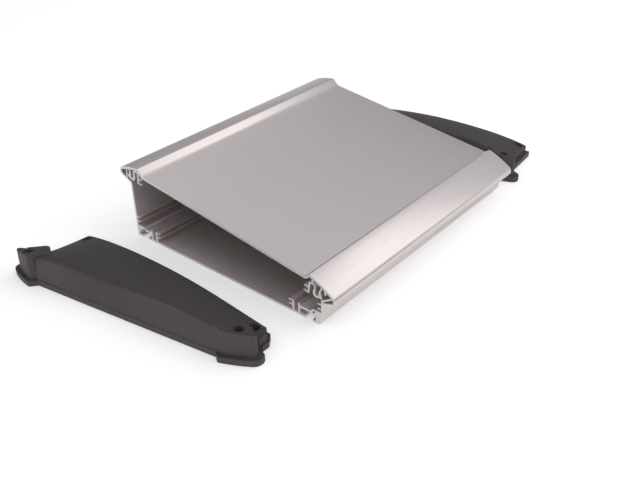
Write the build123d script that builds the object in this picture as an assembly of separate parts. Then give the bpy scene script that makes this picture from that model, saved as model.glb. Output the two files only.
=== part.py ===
"""Sloped desk enclosure: a base and a cover extruded in aluminium, which nest along their two lobes,
and the two moulded end caps, taken off and lying beside them.

Millimetres. X runs along the extrusions, the low front faces -Y and +Z is up. The origin is at the
middle of the underside. Both sections are drawn in the Y-Z plane.
"""
import os
from math import atan2, cos, degrees, hypot, radians, sin, tan

from build123d import *

# The enclosure's overall sizes
length = 250.0              # both extrusions, along X
floor_depth = 196.8         # from the front foot edge to the rear foot edge
foot_inset = 4.5            # the front foot stands this far behind the front face
foot_rise = 6.9             # and the face starts this far above the table
rear_shoulder = 49.0        # height at which the rear wall turns out into its lobe
front_shoulder = 19.3       # the same on the front wall

# Thicknesses
floor_thick = 2.0
rear_wall = 1.8
front_wall = 2.4
cover_wall = 1.9            # plate, lips and lobe skins of the cover
web = 1.4                   # hooked webs in the lobes
guide_web = 1.8             # webs that carry the guides for a circuit board, and the slot roofs
prong = 1.2                 # prongs of those guides
nest_gap = 0.15             # clearance between base and cover wherever they nest

# The base's lower corners, measured inwards from the foot edges and upwards from the table
slot_mouth = (6.0, 13.2)    # mouth of the T-slot in the underside
slot_room = (2.9, 17.6)     # its inner width
slot_lip = 1.8              # thickness of the lips beside the mouth
slot_roof = 6.9             # underside of its roof
port_radius = 1.65          # every screw port along the extrusions
port_wall = 1.45            # metal around a port
base_port = (4.3, 8.2)      # centre of the port over the front T-slot
rear_port = (8.0, 7.0)      # and over the rear one
base_port_neck = 2.0        # the slit through which it opens into the slot
channel_webs = (18.5, 24.0) # centre lines of the two webs beside each slot
channel_top = 10.9
channel_prongs = (6.6, 10.3)
prong_reach = 2.8
wall_prongs = (14.1, 18.1)  # heights of the prongs on both walls

# The lobes' outlines: outwards from the wall's outer face and upwards from its shoulder
rear_ridge = (-11.3, 15.8)
rear_skin_middle = (-0.4, 14.4)
rear_nose = (9.1, 11.8)
rear_nose_end = (9.8, 4.9)
rear_plate_edge = (-15.7, 10.4)
front_ridge = (-12.6, 20.2)
front_skin_middle = (-2.4, 15.7)
front_nose = (7.7, 10.0)
front_nose_end = (9.5, 3.0)
front_plate_edge = (-17.0, 17.1)
strut_top = (3.1, 10.9)     # where the base's strut props the rear skin from below
strut_foot = (3.8, 2.9)
brace_top = (7.0, 7.6)      # the same prop in the front lobe
brace_foot = (-0.9, 3.0)

# The cover's hooks, in the plate's own tilted frame: outwards along the plate from its edge, and up
hook_drop = (0.0, 3.4)      # how much lower the hooks hang at the rear and at the front
guide_at = 4.9
guide_reach = 3.9
guide_heights = (-8.3, -3.9)
arch_top = (7.3, 1.4)
leg_at = 9.9
trough_low = -7.8
cover_port = (12.1, -5.1)
cover_port_wall = 1.9
cover_port_neck = 2.8
neck_top = -1.5             # how high the neck reaches between the leg and the outer web
trough_end = (16.3, -6.6)
outer_web = (14.2, -2.6)
outer_web_top = 15.9
claw = (18.5, 19.4, -2.0)   # the front hook outside the port: root, tip and the tip's height

# End caps, drawn as they lie: u along the enclosure's depth, v along its height, h up from the table
cap_flange = 5.0
cap_rim = 2.2               # the flange stands this far outside the extrusions
cap_lift = 2.0              # but ends this far above the underside of the base
cap_wall = 2.4
crest_step = 1.7            # the wall beside the panel stands this far outside the panel's line
heel = 2.1                  # the body's rear wall, in from the rear face
sole = 1.0                  # and its wall beside the base
toe = (4.9, -2.5, 8.6)  # the toe's corners, in from the front face: along the sole and along the front,
                            # and how high the second one sits
toe_rim = ((2.5, 2.0), (-4.1, 8.3), (-4.1, 15.0), (0.9, 20.0), (7.9, 20.0), (7.9, 2.0))
toe_shelf = ((18.9, -0.5), (0.0, 19.3))  # the line on which the top steps down to the toe
shelf_height = 10.8
rear_corner = (13.8, 56.0, 48.0)  # the body ends this far in at the panel, between these two heights
front_corner = (14.7, 33.0, 2.9, 24.0, 16.0)  # and so at the front, in two steps

# Stations along the body: how far in from the front face, from the middle or from the rear face, then the
# height over the sole, the crest's v and h, how far the crest is blended, and how far the top bows out over a
# straight line
front_stations = ((-11.1, 5.9, 30.9, 23.0, 0.8, 3.0),)
middle_stations = (
    (-60.0, 12.3, 36.1, 24.0, 1.5, 3.0),
    (-10.0, 16.6, 40.8, 24.8, 4.0, 3.0),
    (40.0, 16.4, 47.4, 25.0, 6.0, 2.0),
)
rear_stations = (
    (20.4, 13.1, 56.8, 25.0, 4.0, 0.3),
    (-1.6, 8.8, 59.5, 13.0, 4.0, -3.0),
)
crown_start = -2.0          # the top is drawn from here and trimmed by the sole

# Lobes: they follow the enclosure's outline, moved in, and each top falls off towards its nose and the sole
lobe_inset = 0.8
lobe_shift = 1.2            # and this far towards the middle
lobe_draft = 2.0            # degrees
# Their other sides, each in from the face at its end
rear_lobe_bounds = ((15.0, 70.0), (15.0, 57.5), (24.4, 48.0), (6.9, 40.0), (1.4, 42.0),
                    (-16.6, 50.0), (-16.6, 70.0))
rear_lobe_back = ((-6.4, 52.6), (-2.2, 46.6), (2.1, 39.5), (6.9, 38.5), (8.4, 55.0))
front_lobe_bounds = ((22.9, 45.0), (22.9, 30.0), (5.9, 19.0), (-15.1, 19.0), (-15.1, 45.0))
rear_lobe_top = (25.3, 13.4, 60.0, 0.125, 0.2)   # height, where it is measured, and its fall along u and v
front_lobe_top = (24.0, 14.9, 38.0, 0.0, 0.16)
screw_bore = 4.5
screw_sink = 8.0
screw_floor = 4.0
boss_wall = 1.6
rib_thick = 1.6
rib_foot = 0.5              # the ribs stop this far above the flange's face
rib_reach = 62.0
cap_ribs = (-50.0, 0.0, 45.0)
through = 1.0               # how far cutting bodies run past the faces that they cut

# Where the caps lie: x and y of the base edge's middle, and the turn in degrees
right_cap_place = (-158.5, 19.6, 1.05)
left_cap_place = (204.5, 10.6, 4.8)

# Values that follow
rear_face = floor_depth / 2
front_face = -floor_depth / 2 - foot_inset
half_web = web / 2


def rear(outwards, up):
    """A point of the rear lobe."""
    return (rear_face + outwards, rear_shoulder + up)


def front(outwards, up):
    """A point of the front lobe."""
    return (front_face - outwards, front_shoulder + up)


plate_ends = (rear(*rear_plate_edge), front(*front_plate_edge))


def from_rear(*points):
    """Points of the caps given as a distance in from the rear face and a height."""
    return [(rear_face - inwards, v) for inwards, v in points]


def from_front(*points):
    """The same for the front face."""
    return [(front_face + inwards, v) for inwards, v in points]


stations = [(front_face + inwards, *rest) for inwards, *rest in front_stations]
stations += middle_stations
stations += [(rear_face - inwards, *rest) for inwards, *rest in rear_stations]
far = floor_depth           # past every outline of the caps
slope = atan2(plate_ends[0][1] - plate_ends[1][1], plate_ends[0][0] - plate_ends[1][0])


def hook_point(side, along, up):
    """A point of the hooks at the rear (side 0) or the front (side 1), from the plate's tilted frame."""
    y, z = plate_ends[side]
    outwards = 1 - 2 * side
    up -= hook_drop[side]
    return (y + outwards * along * cos(slope) - up * sin(slope),
            z + outwards * along * sin(slope) + up * cos(slope))


def skin_line(side, along):
    """Height, in the hooks' frame, of the middle of the lobe's skin above a point of the plate's line."""
    lobe_ends = ((rear(*rear_ridge), rear(*rear_nose)), (front(*front_ridge), front(*front_nose)))[side]
    y, z = plate_ends[side]
    outwards = 1 - 2 * side
    (a0, b0), (a1, b1) = [(outwards * (py - y) * cos(slope) + outwards * (pz - z) * sin(slope),
                           -(py - y) * sin(slope) + (pz - z) * cos(slope)) for py, pz in lobe_ends]
    return b0 + (b1 - b0) * (along - a0) / (a1 - a0) - cover_wall / 2 + hook_drop[side]


def wall_run(points, thickness):
    """A web of even thickness with rounded ends and knees, along a run of points."""
    run = Sketch()
    for (y0, z0), (y1, z1) in zip(points, points[1:]):
        span = hypot(y1 - y0, z1 - z0)
        turn = degrees(atan2(z1 - z0, y1 - y0))
        run += Pos((y0 + y1) / 2, (z0 + z1) / 2) * SlotCenterToCenter(span, thickness, rotation=turn)
    return run


def region(*points):
    """A flat face with straight sides; a corner that falls on the one before it counts once."""
    corners = [b for a, b in zip(points[-1:] + points, points) if hypot(b[0] - a[0], b[1] - a[1]) > 0.01]
    return make_face(Polyline(*corners, close=True))


def lobe_line():
    """The enclosure's upper outline, from the rear nose over the plate to the front nose."""
    rear_skin = ThreePointArc(rear(*rear_ridge), rear(*rear_skin_middle), rear(*rear_nose))
    front_skin = ThreePointArc(front(*front_ridge), front(*front_skin_middle), front(*front_nose))
    return [
        TangentArc(rear(*rear_nose), rear(*rear_nose_end), tangent=rear_skin % 1),
        rear_skin,
        Line(rear(*rear_ridge), plate_ends[0]),
        Line(*plate_ends),
        Line(plate_ends[1], front(*front_ridge)),
        front_skin,
        TangentArc(front(*front_nose), front(*front_nose_end), tangent=front_skin % 1),
    ]


def side_profile():
    """The whole enclosure's outline as one closed face."""
    lower = Polyline(rear(*rear_nose_end), rear(0, 0), (rear_face, 0), (-rear_face, 0),
                     (front_face, foot_rise), front(0, 0), front(*front_nose_end))
    return make_face([*lobe_line(), *lower.edges()])


def underside(shoulder, nose_end, deeper=0.0):
    """The centre line of the wall under a lobe, run on past the nose so that the outline trims it."""
    run = hypot(nose_end[0] - shoulder[0], nose_end[1] - shoulder[1])
    along = ((nose_end[0] - shoulder[0]) / run, (nose_end[1] - shoulder[1]) / run)
    inwards = (-along[1], along[0]) if along[0] > 0 else (along[1], -along[0])
    inset = half_web + deeper
    return [(shoulder[0] + inwards[0] * inset, shoulder[1] + inwards[1] * inset),
            (nose_end[0] + along[0] * web + inwards[0] * inset,
             nose_end[1] + along[1] * web + inwards[1] * inset)]


# The webs of the base that reach into the cover's lobes
nested_runs = [
    underside(rear(0, 0), rear(*rear_nose_end)),
    underside(front(0, 0), front(*front_nose_end)),
    [rear(*strut_foot), rear(*strut_top)],
    [front(*brace_foot), front(*brace_top)],
]
wall_seat = hook_point(1, *trough_end)[1] - half_web - nest_gap


def base_corner(side):
    """T-slot, screw port and board channel in the lower rear (side 1) or lower front (side -1) corner."""
    edge = rear_face
    face = rear_face if side > 0 else -front_face
    rise = 0.0 if side > 0 else foot_rise
    port_in, port_z = rear_port if side > 0 else base_port
    port_y = edge - port_in
    block_top = port_z + port_radius + port_wall
    block = region((edge - slot_mouth[0], 0), (edge, 0), (face, rise), (face, block_top),
                   (port_y, block_top), (port_y, slot_roof), (edge - slot_mouth[0], slot_roof))
    block += Pos(port_y, port_z) * Circle(port_radius + port_wall)
    roof_height = slot_roof + guide_web / 2
    web_ys = [edge - a for a in channel_webs]
    block += wall_run([(web_ys[0], roof_height), (port_y, roof_height)], guide_web)
    for y in web_ys:
        block += Pos(y, channel_top / 2) * Rectangle(guide_web, channel_top)
    for z in channel_prongs:
        block += wall_run([(web_ys[1], z), (web_ys[1] - guide_web / 2 - prong_reach, z)], prong)
    inner_face = face - (rear_wall if side > 0 else front_wall)
    for z in wall_prongs:
        block += wall_run([(face - prong, z), (inner_face - prong_reach, z)], prong)
    room = Pos(edge - sum(slot_room) / 2, (slot_lip + slot_roof) / 2)
    block -= room * Rectangle(slot_room[1] - slot_room[0], slot_roof - slot_lip)
    block -= Pos(port_y, port_z) * Circle(port_radius)
    block -= Pos(port_y, (slot_lip + port_z) / 2) * Rectangle(base_port_neck, port_z - slot_lip)
    return block if side > 0 else mirror(block, Plane.YZ)


def base_section():
    floor_half = rear_face - slot_mouth[1]
    section = Pos(0, floor_thick / 2) * Rectangle(2 * floor_half, floor_thick)
    section += base_corner(1)
    section += base_corner(-1)
    section += region((rear_face, 0), rear(0, half_web), rear(-rear_wall, half_web),
                      (rear_face - rear_wall, 0))
    section += region((front_face, foot_rise), (front_face, wall_seat), (front_face + front_wall, wall_seat),
                      (front_face + front_wall, foot_rise))
    for run in nested_runs:
        section += wall_run(run, web)
    return section & side_profile()


def hooks(side):
    """The webs that hang inside one lobe of the cover: board guide, arch, trough with its port, outer web."""
    def at(along, up):
        return hook_point(side, along, up)

    low = guide_heights[0]
    hung = wall_run([at(guide_at, low), at(guide_at, 0.5), at(*arch_top), at(leg_at, 0.4),
                     at(leg_at, trough_low),
                     at(cover_port[0], trough_low - 0.2), at(*trough_end)], web)
    hung += wall_run([at(*trough_end), at(*outer_web),
                      at(outer_web_top, skin_line(side, outer_web_top))], web)
    hung += wall_run([at(*arch_top), at(arch_top[0], skin_line(side, arch_top[0]))], web)
    for up in guide_heights:
        hung += wall_run([at(guide_at, up), at(guide_at - guide_reach, up)], prong)
    hung += Pos(*at(*cover_port)) * Circle(port_radius + cover_port_wall)
    hung -= Pos(*at(*cover_port)) * Circle(port_radius)
    neck_middle = at(cover_port[0], (cover_port[1] + neck_top) / 2)
    neck = Rectangle(cover_port_neck, neck_top - cover_port[1], rotation=degrees(slope))
    hung -= Pos(*neck_middle) * neck
    if side == 1:
        hung += wall_run([at(claw[0], skin_line(side, claw[0])), at(claw[1], claw[2])], web)
    return hung


def cover_section():
    skin = offset(Wire(lobe_line()), cover_wall, side=Side.RIGHT, kind=Kind.INTERSECTION)
    section = make_face(skin.edges()) + hooks(0) + hooks(1)
    for run in nested_runs:
        section -= wall_run(run, web + 2 * nest_gap)
    for shoulder, nose_end in ((rear(0, 0), rear(*rear_nose_end)), (front(0, 0), front(*front_nose_end))):
        section -= wall_run(underside(shoulder, nose_end, -half_web), web)
    return section


def extruded(section):
    return extrude(Plane.YZ * section, amount=length / 2, both=True)


def panel_line(u):
    """The plate's line, continued past its ends."""
    (u0, v0), (u1, v1) = plate_ends
    return v0 + (v1 - v0) * (u - u0) / (u1 - u0)


def station_face(station, inset, bottom):
    """One cross-section of the cap's body: wall beside the panel, blended crest, bowed top."""
    u, sole_height, crest_v, crest_h, blend, bow = station
    foot_v = panel_line(u) + crest_step - inset
    crest = (crest_v - inset, crest_h - inset)
    rise = (crest_h - sole_height) / (crest_v - sole)
    start = (crown_start, sole_height - inset + (crown_start - sole) * rise)
    wall_run_up = hypot(crest[0] - foot_v, crest[1] - cap_flange)
    part_way = blend / wall_run_up
    below = (crest[0] + (foot_v - crest[0]) * part_way, crest[1] - (crest[1] - cap_flange) * part_way)
    beside = (crest[0] - blend, crest[1] - blend * rise)
    bulge = ((start[0] + beside[0]) / 2, (start[1] + beside[1]) / 2 + bow)
    rim = [
        Line((crown_start, bottom), (foot_v, bottom)),
        Line((foot_v, bottom), (foot_v, cap_flange)),
        Line((foot_v, cap_flange), below),
        Bezier(below, crest, beside),
        Bezier(beside, bulge, start),
        Line(start, (crown_start, bottom)),
    ]
    return Plane((u, 0, 0), x_dir=(0, 1, 0), z_dir=(1, 0, 0)) * make_face(rim)


def body_form(inset, bottom):
    """The cap's long body, moved in by a wall's thickness."""
    pillow = loft([station_face(station, inset, bottom) for station in stations])
    back_in, back_top, back_low = rear_corner
    front_in, front_top, nose_in, nose_top, nose_low = front_corner
    plan = region(*from_rear((back_in, far), (back_in, back_top), (heel, back_low), (heel, sole)),
                  *from_front((toe[0], sole), (toe[1], toe[2]), (toe[1], nose_low), (nose_in, nose_top),
                              (front_in, front_top), (front_in, far)))
    step_start, step_end = from_front(*toe_shelf)
    shelf = region(step_start, step_end, (-far, step_end[1]), (-far, -far), (step_start[0], -far))
    if inset:
        plan = offset(plan, -inset, kind=Kind.INTERSECTION)
        shelf = offset(shelf, inset, kind=Kind.INTERSECTION)
    over = cap_flange * 8
    form = pillow & (Pos(0, 0, bottom) * extrude(plan, amount=over))
    return form - Pos(0, 0, shelf_height - inset) * extrude(shelf, amount=over)


def lobe_form(bounds, back, top, inset, bottom):
    """One raised lobe of the cap, drafted and moved in by a wall's thickness."""
    height, top_u, top_v, fall_u, fall_v = top
    over = height + 2 * through

    def plan(moved_in):
        outline = offset(side_profile(), -lobe_inset - moved_in, kind=Kind.INTERSECTION)
        outline = Pos(-lobe_shift if top_u > 0 else lobe_shift, 0) * outline
        edge = region(*bounds)
        outline &= offset(edge, -moved_in, kind=Kind.INTERSECTION) if moved_in else edge
        if back:
            edge = region(*back)
            outline += offset(edge, -moved_in, kind=Kind.INTERSECTION) if moved_in else edge
        return outline

    lean = over * tan(radians(lobe_draft))
    drafted = loft([Pos(0, 0, bottom) * plan(inset), Pos(0, 0, over) * plan(inset + lean)], ruled=True)
    lid = Plane((top_u, top_v, height - inset), z_dir=(fall_u, -fall_v, 1))
    return split(drafted, bisect_by=lid, keep=Keep.BOTTOM)


def cap_form(inset, bottom):
    """The whole outside of a cap, or its hollow."""
    height, inwards, *rest = rear_lobe_top
    rear_top = (height, rear_face - inwards, *rest)
    height, inwards, *rest = front_lobe_top
    front_top = (height, front_face + inwards, *rest)
    form = body_form(inset, bottom)
    form += lobe_form(from_rear(*rear_lobe_bounds), from_rear(*rear_lobe_back), rear_top, inset, bottom)
    return form + lobe_form(from_front(*front_lobe_bounds), None, front_top, inset, bottom)


def upright(shape, u, v, low, high):
    """A face moved to a place and extruded between two heights."""
    return extrude(Pos(u, v, low) * shape, amount=high - low)


def end_cap():
    outer = cap_form(0.0, through)
    hollow = cap_form(cap_wall, -through)
    band = region((-far, cap_lift), (far, cap_lift), (far, far), (-far, far))
    flange_face = (offset(side_profile(), cap_rim) & band) + region(*from_front(*toe_rim))
    cap = extrude(flange_face, amount=cap_flange) + outer - hollow
    ports = [(rear_face - rear_port[0], rear_port[1]), (base_port[0] - rear_face, base_port[1]),
             hook_point(0, *cover_port), hook_point(1, *cover_port)]
    tall = 2 * rear_lobe_top[0]
    inside = Part()
    for u, v in ports:
        inside += upright(Circle(screw_sink / 2 + boss_wall), u, v, 0, tall)
    for u in cap_ribs:
        inside += upright(Rectangle(rib_thick, rib_reach), u, rib_reach / 2, rib_foot, tall)
    cap += inside & (hollow + outer)
    for u, v in ports:
        cap -= upright(Circle(screw_bore / 2), u, v, -through, tall)
        cap -= upright(Circle(screw_sink / 2), u, v, screw_floor, tall)
    return cap


def laid(cap, place):
    """A cap on the table with its base edge towards +X."""
    x, y, turn = place
    return Pos(x, y, 0) * Rot(0, 0, 90 + turn) * cap


if __name__ == "__main__":
    os.makedirs("parts", exist_ok=True)
    right_cap = end_cap()
    left_cap = mirror(right_cap, Plane.YZ)
    pieces = {
        "base_shell": extruded(base_section()),
        "top_cover": extruded(cover_section()),
        "end_cap_right": laid(right_cap, right_cap_place),
        "end_cap_left": laid(left_cap, left_cap_place),
    }
    for name, piece in pieces.items():
        export_step(piece, f"parts/{name}.step")
        print(name, len(piece.solids()), round(piece.volume), len(piece.faces()))
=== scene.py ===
# %% [markdown]
# # A sloped desk enclosure in satin aluminium, with its end caps laid beside it
#
# The object is two long aluminium extrusions that nest along a rounded lobe at the front and another at
# the rear, and a pair of moulded end caps. The CAD model already has the true sections, so this lesson is
# about what a section drawing can't show: the satin skin, the grain of the die, the bright saw cut on the
# ends, the softened rims of a moulding, and a plain studio to see them in.

# %% Load the frame
from math import radians

import bpy
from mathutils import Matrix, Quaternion, Vector


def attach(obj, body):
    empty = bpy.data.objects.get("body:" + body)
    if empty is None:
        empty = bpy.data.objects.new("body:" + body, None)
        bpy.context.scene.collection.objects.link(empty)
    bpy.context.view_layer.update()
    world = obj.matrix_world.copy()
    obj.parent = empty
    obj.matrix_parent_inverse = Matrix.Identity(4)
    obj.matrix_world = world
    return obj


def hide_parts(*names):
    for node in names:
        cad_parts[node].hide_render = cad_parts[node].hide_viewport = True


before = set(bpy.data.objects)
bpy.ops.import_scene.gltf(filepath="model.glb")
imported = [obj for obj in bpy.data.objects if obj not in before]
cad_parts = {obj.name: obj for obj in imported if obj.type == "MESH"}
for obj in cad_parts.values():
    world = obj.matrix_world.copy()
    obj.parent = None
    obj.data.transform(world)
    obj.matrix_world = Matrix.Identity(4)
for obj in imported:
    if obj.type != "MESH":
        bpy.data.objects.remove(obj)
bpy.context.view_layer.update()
mm = 0.001
print("CAD nodes:", sorted(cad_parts))

# %% [markdown]
# ## Camera
#
# A product picture of a long object is usually taken from above a corner, so that the end, the front and
# the top all show. This camera stands off the front left corner and looks down by about 32 degrees. It is
# placed by a point and a line of sight, and then rolled a little, as a hand-set camera is.

# %% Set up the camera
camera_place = Vector((-469.1, -387.7, 352.9)) * mm
line_of_sight = Vector((0.6502, 0.5429, -0.5315))
camera_roll = -0.0145
lens_length = 45.08

camera_data = bpy.data.cameras.new("studio_camera")
camera_data.sensor_width = 36.0
camera_data.lens = lens_length
camera_data.clip_start = 0.01
camera = bpy.data.objects.new("studio_camera", camera_data)
bpy.context.scene.collection.objects.link(camera)
camera.location = camera_place
camera.rotation_mode = "QUATERNION"
camera.rotation_quaternion = line_of_sight.to_track_quat("-Z", "Y") @ Quaternion((0, 0, 1), camera_roll)
bpy.context.scene.camera = camera
print("camera at", [round(c, 3) for c in camera.location])

# %% [markdown]
# ## Helpers for working copies
#
# A CAD mesh arrives as loose triangles. To soften its edges, a copy is merged into one skin first, and
# the copy then stands for the CAD node. The flat facets of the arcs are shaded smooth, while any edge
# sharper than the given angle stays crisp until a narrow bevel rounds it.

# %% Copy, merge and soften
merge_gap = 0.005 * mm
flat_within = radians(0.5)


def only(piece):
    """Selects one object and nothing else."""
    bpy.ops.object.select_all(action="DESELECT")
    bpy.context.view_layer.objects.active = piece
    piece.select_set(True)


def working_copy(node, name):
    """A merged copy of a CAD node, which stands for it."""
    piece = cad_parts[node].copy()
    piece.data = piece.data.copy()
    for key in list(piece.keys()):
        del piece[key]
    piece.parent = None
    piece.name = piece.data.name = name
    piece.data.materials.clear()
    bpy.context.scene.collection.objects.link(piece)
    only(piece)
    bpy.ops.object.mode_set(mode="EDIT")
    bpy.ops.mesh.select_all(action="SELECT")
    bpy.ops.mesh.customdata_custom_splitnormals_clear()
    bpy.ops.mesh.remove_doubles(threshold=merge_gap)
    bpy.ops.mesh.dissolve_limited(angle_limit=flat_within)
    bpy.ops.object.mode_set(mode="OBJECT")
    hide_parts(node)
    print(name, "has", len(piece.data.vertices), "points and", len(piece.data.polygons), "faces")
    return piece


def soften(piece, width, sharp_angle, segments):
    """Rounds every edge sharper than an angle, then shades the piece."""
    only(piece)
    bevel = piece.modifiers.new("rims", "BEVEL")
    bevel.width = width
    bevel.segments = segments
    bevel.limit_method = "ANGLE"
    bevel.angle_limit = sharp_angle
    bevel.use_clamp_overlap = True
    bpy.ops.object.modifier_apply(modifier=bevel.name)
    bpy.ops.object.shade_smooth_by_angle(angle=sharp_angle)
    print(piece.name, "softened to", len(piece.data.polygons), "faces")


# %% [markdown]
# ## Node helpers
#
# Every finish here is built from a texture in the piece's own coordinates. Each small helper adds a node
# and joins it up in one line, so that the cells for the materials and the light stay short.

# %% Short ways to add nodes
def new_material(name):
    """A material, with its tree, its shader and the piece's own coordinates."""
    material = bpy.data.materials.new(name)
    material.use_nodes = True
    tree = material.node_tree
    shader = tree.nodes["Principled BSDF"]
    place = tree.nodes.new("ShaderNodeTexCoord").outputs["Object"]
    return material, tree, shader, place


def mapped(tree, place, scale=(1, 1, 1), shift=(0, 0, 0)):
    """The piece's coordinates, stretched along each axis and then shifted."""
    node = tree.nodes.new("ShaderNodeMapping")
    node.inputs["Scale"].default_value = scale
    node.inputs["Location"].default_value = shift
    tree.links.new(place, node.inputs["Vector"])
    return node.outputs["Vector"]


def noise(tree, vector, scale, detail):
    """A soft random pattern."""
    node = tree.nodes.new("ShaderNodeTexNoise")
    node.inputs["Scale"].default_value = scale
    node.inputs["Detail"].default_value = detail
    node.inputs["Roughness"].default_value = 0.55
    tree.links.new(vector, node.inputs["Vector"])
    return node.outputs["Fac"]


def between(tree, value, low, high, start=0.3, end=0.7):
    """Maps a value, which runs from start to end, to a range."""
    node = tree.nodes.new("ShaderNodeMapRange")
    node.inputs["From Min"].default_value = start
    node.inputs["From Max"].default_value = end
    node.inputs["To Min"].default_value = low
    node.inputs["To Max"].default_value = high
    tree.links.new(value, node.inputs["Value"])
    return node.outputs["Result"]


def mixed(tree, factor, first, second):
    """A colour between two colours, or between a socket and a colour."""
    node = tree.nodes.new("ShaderNodeMix")
    node.data_type = "RGBA"
    tree.links.new(factor, node.inputs["Factor"])
    for name, colour in (("A", first), ("B", second)):
        socket = [s for s in node.inputs if s.name == name and s.type == "RGBA"][0]
        if hasattr(colour, "is_linked"):
            tree.links.new(colour, socket)
        else:
            socket.default_value = (*colour, 1.0)
    return [s for s in node.outputs if s.type == "RGBA"][0]


def bumped(tree, height, distance, strength):
    """A surface direction tilted by a height."""
    node = tree.nodes.new("ShaderNodeBump")
    node.inputs["Distance"].default_value = distance
    node.inputs["Strength"].default_value = strength
    tree.links.new(height, node.inputs["Height"])
    return node.outputs["Normal"]


def calculated(tree, operation, first, second):
    """One step of arithmetic on two values, each of them a number or a socket."""
    node = tree.nodes.new("ShaderNodeMath")
    node.operation = operation
    for socket, value in zip(node.inputs, (first, second)):
        if hasattr(value, "is_linked"):
            tree.links.new(value, socket)
        else:
            socket.default_value = value
    return node.outputs["Value"]


# %% [markdown]
# ## Satin anodised aluminium
#
# An extrusion is etched before it is anodised, which leaves a fine, even satin skin with hardly any trace
# of the die's lines. So the tone is almost the same everywhere: very broad clouds shift it by a few
# hundredths, and a fine etch scatters the light. A little of the grain along X is left in the sheen only.

# %% Make the satin aluminium
satin_dark = (0.672, 0.620, 0.616)
satin_light = (0.700, 0.646, 0.642)
die_grain = (4, 260, 260)
etch_height = 0.012 * mm

satin, tree, shader, place = new_material("satin_anodised_aluminium")
clouds = noise(tree, place, 7.0, detail=2)
drawn = noise(tree, mapped(tree, place, scale=die_grain), 1.0, detail=3)
etch = noise(tree, place, 2600.0, detail=2)
tone = mixed(tree, between(tree, clouds, 0.0, 1.0), satin_dark, satin_light)
tree.links.new(tone, shader.inputs["Base Color"])
shader.inputs["Metallic"].default_value = 0.9
tree.links.new(between(tree, drawn, 0.36, 0.42), shader.inputs["Roughness"])
tree.links.new(bumped(tree, etch, etch_height, 0.4), shader.inputs["Normal"])
print("material", satin.name)

# %% [markdown]
# ## The saw cut
#
# The two extrusions were cut to length with a circular saw after finishing, so their ends are bare metal,
# lighter and brighter than the skin, with fine arcs across them. Rings round a point far below the piece
# look like the arcs of a large blade.

# %% Make the cut face
bare_dark = (0.74, 0.71, 0.70)
bare_light = (0.86, 0.83, 0.82)
blade_shift = (0, 0.11, 0.16)
tooth_mark = 0.01 * mm

cut, tree, shader, place = new_material("saw_cut_aluminium")
rings = tree.nodes.new("ShaderNodeTexWave")
rings.wave_type = "RINGS"
rings.rings_direction = "X"
rings.inputs["Scale"].default_value = 320.0
rings.inputs["Distortion"].default_value = 1.5
tree.links.new(mapped(tree, place, shift=blade_shift), rings.inputs["Vector"])
arcs = rings.outputs["Fac"]
tree.links.new(mixed(tree, arcs, bare_dark, bare_light), shader.inputs["Base Color"])
shader.inputs["Metallic"].default_value = 0.35
shader.inputs["Roughness"].default_value = 0.38
tree.links.new(bumped(tree, arcs, tooth_mark, 0.6), shader.inputs["Normal"])
print("material", cut.name)

# %% [markdown]
# ## Matt cap plastic
#
# The caps are charcoal mouldings with a fine spark-eroded texture. Two noises make it: a very fine one for
# the texture itself and a soft one for the uneven sheen that handling leaves. The colour also holds
# painted
# light: the faces that look up are painted darker, as painted shade, and the walls are painted a shade
# lighter, as painted light. The vertical part of the surface's direction drives that change.

# %% Make the cap plastic
# Painted light: the walls get a lighter colour and the faces that look up a darker one, by their
# direction.
painted_lit_wall_dark = (0.092, 0.080, 0.087)
painted_lit_wall_light = (0.118, 0.104, 0.112)
painted_shade_top_tone = (0.060, 0.054, 0.060)
grain_height = 0.05 * mm

plastic, tree, shader, place = new_material("charcoal_cap_plastic")
grain = noise(tree, place, 1900.0, detail=2)
sheen = noise(tree, place, 22.0, detail=3)
painted_shade_facing = tree.nodes.new("ShaderNodeSeparateXYZ")
tree.links.new(tree.nodes.new("ShaderNodeNewGeometry").outputs["Normal"], painted_shade_facing.inputs["Vector"])
# Painted shade mask: near 1 on faces that look up, which get the darker painted top colour, and 0 on
# walls.
painted_top_shade_mask = between(tree, painted_shade_facing.outputs["Z"], 0.0, 1.0, start=0.25, end=0.8)
painted_lit_wall_tone = mixed(tree, between(tree, grain, 0.0, 1.0), painted_lit_wall_dark, painted_lit_wall_light)
tree.links.new(mixed(tree, painted_top_shade_mask, painted_lit_wall_tone, painted_shade_top_tone), shader.inputs["Base Color"])
tree.links.new(between(tree, sheen, 0.56, 0.68), shader.inputs["Roughness"])
shader.inputs["Specular IOR Level"].default_value = 0.12
tree.links.new(bumped(tree, grain, grain_height, 0.5), shader.inputs["Normal"])
print("material", plastic.name)

# %% [markdown]
# ## The two extrusions
#
# Both keep their section exactly. The only shaping is a hairline bevel on the sharp edges, which catches
# light as a deburred edge does. The faces at the two ends get the saw cut.

# %% Finish the base
hairline = 0.12 * mm
section_corner = radians(35)


def finish_extrusion(piece):
    """Deburrs an extrusion, and gives it the satin skin and the saw cut."""
    soften(piece, hairline, section_corner, segments=2)
    piece.data.materials.append(satin)
    piece.data.materials.append(cut)
    for face in piece.data.polygons:
        face.material_index = 1 if abs(face.normal.x) > 0.99 else 0
    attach(piece, "root")


base_extrusion = working_copy("base_shell", "base_extrusion")
finish_extrusion(base_extrusion)

# %% [markdown]
# ## The valley behind the panel
#
# A die can't press a sharp inner corner, so the rear lip runs down to the sunk panel in a hollow curve. A
# bevel of several segments along that one long edge makes it: on an inner corner a bevel fills instead of
# cutting. The edge is found by its place in the section, where the lip's slope meets the panel.

# %% Finish the cover
panel_foot_y = 82.7 * mm
panel_foot_z = 59.4 * mm
valley_width = 2.2 * mm
valley_segments = 6
foot_reach = 0.1 * mm


def at_panel_foot(point):
    """Says whether a point of the mesh is on the edge where the lip meets the panel."""
    return abs(point.co.y - panel_foot_y) < foot_reach and abs(point.co.z - panel_foot_z) < foot_reach


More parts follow.
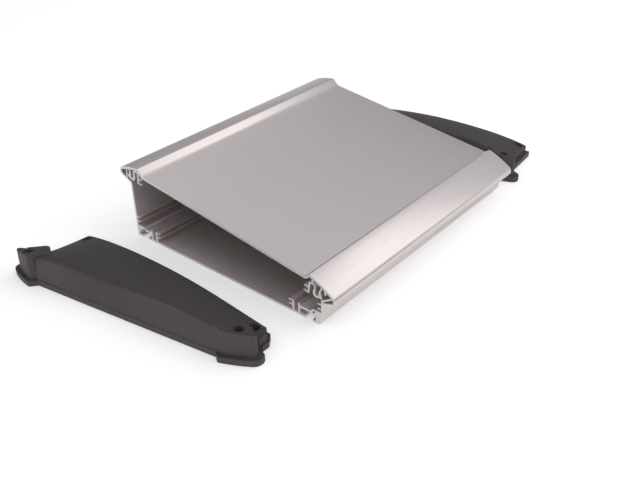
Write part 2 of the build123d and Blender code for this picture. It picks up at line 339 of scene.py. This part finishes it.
def round_valley(piece):
    """Fills the inner corner that runs along X behind the panel."""
    only(piece)
    bpy.ops.object.mode_set(mode="EDIT")
    bpy.ops.mesh.select_mode(type="EDGE")
    bpy.ops.mesh.select_all(action="DESELECT")
    bpy.ops.object.mode_set(mode="OBJECT")
    foot = {point.index for point in piece.data.vertices if at_panel_foot(point)}
    for edge in piece.data.edges:
        edge.select = set(edge.vertices) <= foot
    bpy.ops.object.mode_set(mode="EDIT")
    bpy.ops.mesh.bevel(offset=valley_width, segments=valley_segments, affect="EDGES", clamp_overlap=True)
    bpy.ops.object.mode_set(mode="OBJECT")
    print(piece.name, "valley edges:", sum(edge.select for edge in piece.data.edges))


cover_extrusion = working_copy("top_cover", "cover_extrusion")
round_valley(cover_extrusion)
finish_extrusion(cover_extrusion)

# %% [markdown]
# ## The end caps
#
# A moulding has no sharp outer edge, because the mould's cutter leaves a radius everywhere. A wider bevel
# with more segments gives the caps those soft rims.

# %% Finish the caps
cutter_radius = 0.6 * mm
moulding_corner = radians(28)

for node, name in (("end_cap_right", "near_cap"), ("end_cap_left", "far_cap")):
    cap = working_copy(node, name)
    soften(cap, cutter_radius, moulding_corner, segments=3)
    cap.data.materials.append(plastic)
    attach(cap, "root")

# %% [markdown]
# ## Floor
#
# The studio is a plain white floor, one softbox from the front right and a light tent round it all. The
# floor lies a hair below the pieces. It adds a little white of its own where the camera or a shiny surface
# sees it, so that it reads as white paper and still keeps the soft shadows.

# %% Lay the floor
floor_size = 12.0
floor_drop = 0.05 * mm
paper_colour = (0.86, 0.86, 0.86, 1)
paper_glow = 0.35

bpy.ops.object.select_all(action="DESELECT")
bpy.ops.mesh.primitive_plane_add(size=floor_size, location=(0, 0, -floor_drop))
floor = bpy.context.object
floor.name = "studio_floor"
paper = bpy.data.materials.new("white_paper")
paper.use_nodes = True
tree = paper.node_tree
shader = tree.nodes["Principled BSDF"]
shader.inputs["Base Color"].default_value = paper_colour
shader.inputs["Roughness"].default_value = 0.9
path = tree.nodes.new("ShaderNodeLightPath")
seen = 0.0
for kind in ("Is Camera Ray", "Is Glossy Ray", "Is Transmission Ray"):
    seen = calculated(tree, "ADD", seen, path.outputs[kind])
shader.inputs["Emission Color"].default_value = (1, 1, 1, 1)
tree.links.new(calculated(tree, "MULTIPLY", seen, paper_glow), shader.inputs["Emission Strength"])
floor.data.materials.append(paper)
print("floor of", paper.name)

# %% [markdown]
# ## Softbox
#
# One large softbox at the front right draws the soft shadows and warms the nose a little. It looks at the
# middle of the object.

# %% Hang the softbox
box_place = Vector((0.95, -1.2, 1.35))
box_aim = Vector((0, 0, 0.03))

box_data = bpy.data.lights.new("right_front_softbox", "AREA")
box_data.shape = "SQUARE"
box_data.size = 2.0
box_data.energy = 14
box_data.color = (1.0, 0.985, 0.97)
softbox = bpy.data.objects.new("right_front_softbox", box_data)
bpy.context.scene.collection.objects.link(softbox)
softbox.location = box_place
softbox.rotation_mode = "QUATERNION"
softbox.rotation_quaternion = (box_aim - box_place).to_track_quat("-Z", "Y")
print("softbox of", box_data.energy, "W")

# %% [markdown]
# ## The light tent
#
# Satin metal shows mostly what stands round it. In a tent of white cloth the walls aren't equally bright,
# and that gives each face its own grey: here the ceiling and the left wall are bright, the right and the
# back walls are dimmer, and the front, where the camera's opening is, gives nothing. Each wall is a soft
# lobe, the square of how far a direction leans towards it.

# %% Build the tent
tent_tint = (0.985, 0.98, 1.0, 1)
tent_walls = (("Z", 1.0, 0.90), ("X", -1.0, 1.0), ("X", 1.0, 0.5), ("Y", 1.0, 0.22))

world = bpy.data.worlds.new("light_tent")
bpy.context.scene.world = world
world.use_nodes = True
tree = world.node_tree
air = tree.nodes["Background"]
air.inputs["Color"].default_value = tent_tint
aim = tree.nodes.new("ShaderNodeSeparateXYZ")
tree.links.new(tree.nodes.new("ShaderNodeTexCoord").outputs["Generated"], aim.inputs["Vector"])
tent = 0.0
for axis, side, brightness in tent_walls:
    lean = calculated(tree, "MAXIMUM", calculated(tree, "MULTIPLY", aim.outputs[axis], side), 0.0)
    lobe = calculated(tree, "MULTIPLY", calculated(tree, "POWER", lean, 2.0), brightness)
    tent = calculated(tree, "ADD", tent, lobe)
tree.links.new(tent, air.inputs["Strength"])
bpy.context.scene.view_settings.view_transform = "Standard"
print("tent walls:", len(tent_walls))
